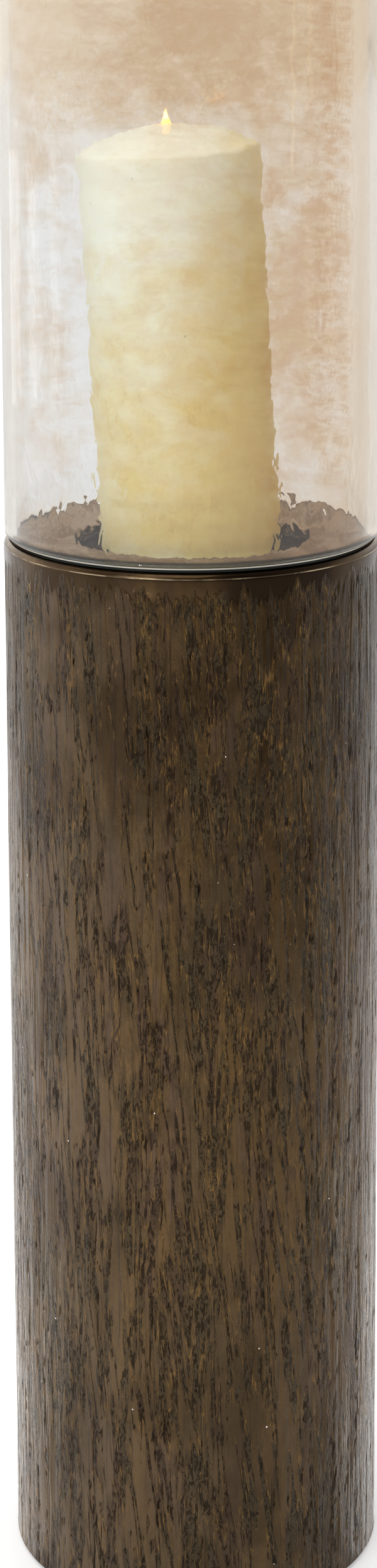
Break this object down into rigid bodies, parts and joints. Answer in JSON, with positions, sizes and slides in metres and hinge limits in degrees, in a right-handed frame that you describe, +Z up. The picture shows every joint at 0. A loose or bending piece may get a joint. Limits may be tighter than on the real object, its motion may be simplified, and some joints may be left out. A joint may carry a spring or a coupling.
{
  "type": "hurricane candle lantern",
  "caption": "Tall round bark-grained cast column with a dished top tray, an open glass cylinder standing on the tray's rim and a pillar candle in the recess.",
  "frame": {"origin": "on the floor, at the middle of the column's foot", "axes": "+Z up along the column, -Y towards the front, +X to the right; the candle leans towards -X"},
  "size_m": [0.2093, 0.2094, 0.9],
  "materials": {
    "cast_bronze": "cast with a vertical bark grain, patinated to a dark antique bronze, satin lacquer",
    "tray_metal": "spun, light bronze satin",
    "plain_steel": "zinc plated",
    "foot_iron": "black enamel",
    "felt": "pressed felt",
    "lustre_glass": "thick wavy hand-worked glass with a faint amber lustre",
    "wax": "ivory wax, soft sheen",
    "cotton": "charred cotton"
  },
  "bodies": {
    "base": {"base_shell": "cast_bronze", "top_tray": "tray_metal", "tray_nut": "plain_steel", "tie_rod": "plain_steel", "foot_disc": "foot_iron", "clamp_washer": "plain_steel", "clamp_nut": "plain_steel", "felt_pads": "felt"},
    "glass": {"glass_chimney": "lustre_glass"},
    "candle": {"candle": "wax", "wick": "cotton"}
  },
  "joints": [
    {"name": "glass_lift", "type": "slide", "parent": "base", "child": "glass", "axis": [0, 0, 1], "range_m": [0, 0.26]},
    {"name": "candle_lift", "type": "slide", "parent": "base", "child": "candle", "axis": [0, 0, 1], "range_m": [0, 0.35]}
  ]
}
